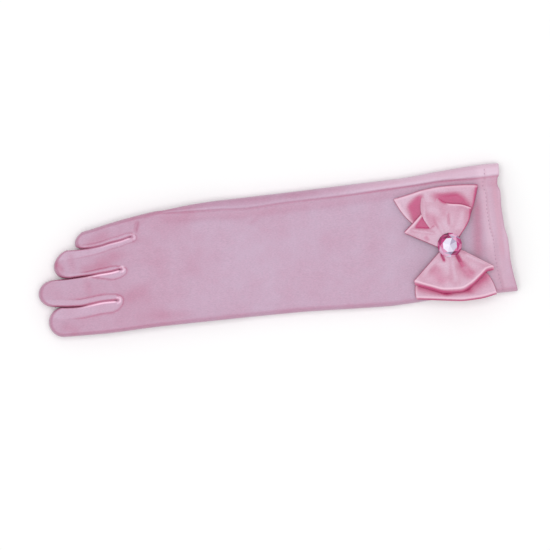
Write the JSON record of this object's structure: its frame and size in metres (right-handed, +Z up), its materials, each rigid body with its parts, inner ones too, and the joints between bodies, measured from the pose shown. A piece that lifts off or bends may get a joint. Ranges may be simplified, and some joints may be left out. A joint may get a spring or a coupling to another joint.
{
  "type": "long satin dress glove",
  "caption": "Long satin dress glove lying on its palm, with gusset strips between the fingers, a hemmed open cuff and a ribbon bow with a faceted stone.",
  "frame": {"origin": "middle of the glove's box in plan, on the surface it lies on", "axes": "+X along the sleeve towards the cuff, +Y towards the little finger, +Z up out of the back of the hand"},
  "size_m": [0.2794, 0.0784, 0.0202],
  "materials": {
    "satin": "lilac pink stretch satin with a soft broad sheen",
    "gusset_satin": "the same satin, turned on edge and shinier along its folds",
    "ribbon_satin": "pink ribbon satin with pale edges",
    "stone": "clear pink faceted stone with a foiled back"
  },
  "bodies": {
    "root": {"glove_shell": "satin", "fourchette_index_middle": "gusset_satin", "fourchette_middle_ring": "gusset_satin", "fourchette_ring_little": "gusset_satin", "thumb": "satin", "bow_under_loop_outer": "ribbon_satin", "bow_top_loop_outer": "ribbon_satin", "bow_under_loop_inner": "ribbon_satin", "bow_top_loop_inner": "ribbon_satin", "bow_side_loop": "ribbon_satin", "bow_knot": "ribbon_satin", "stone": "stone"}
  },
  "joints": []
}
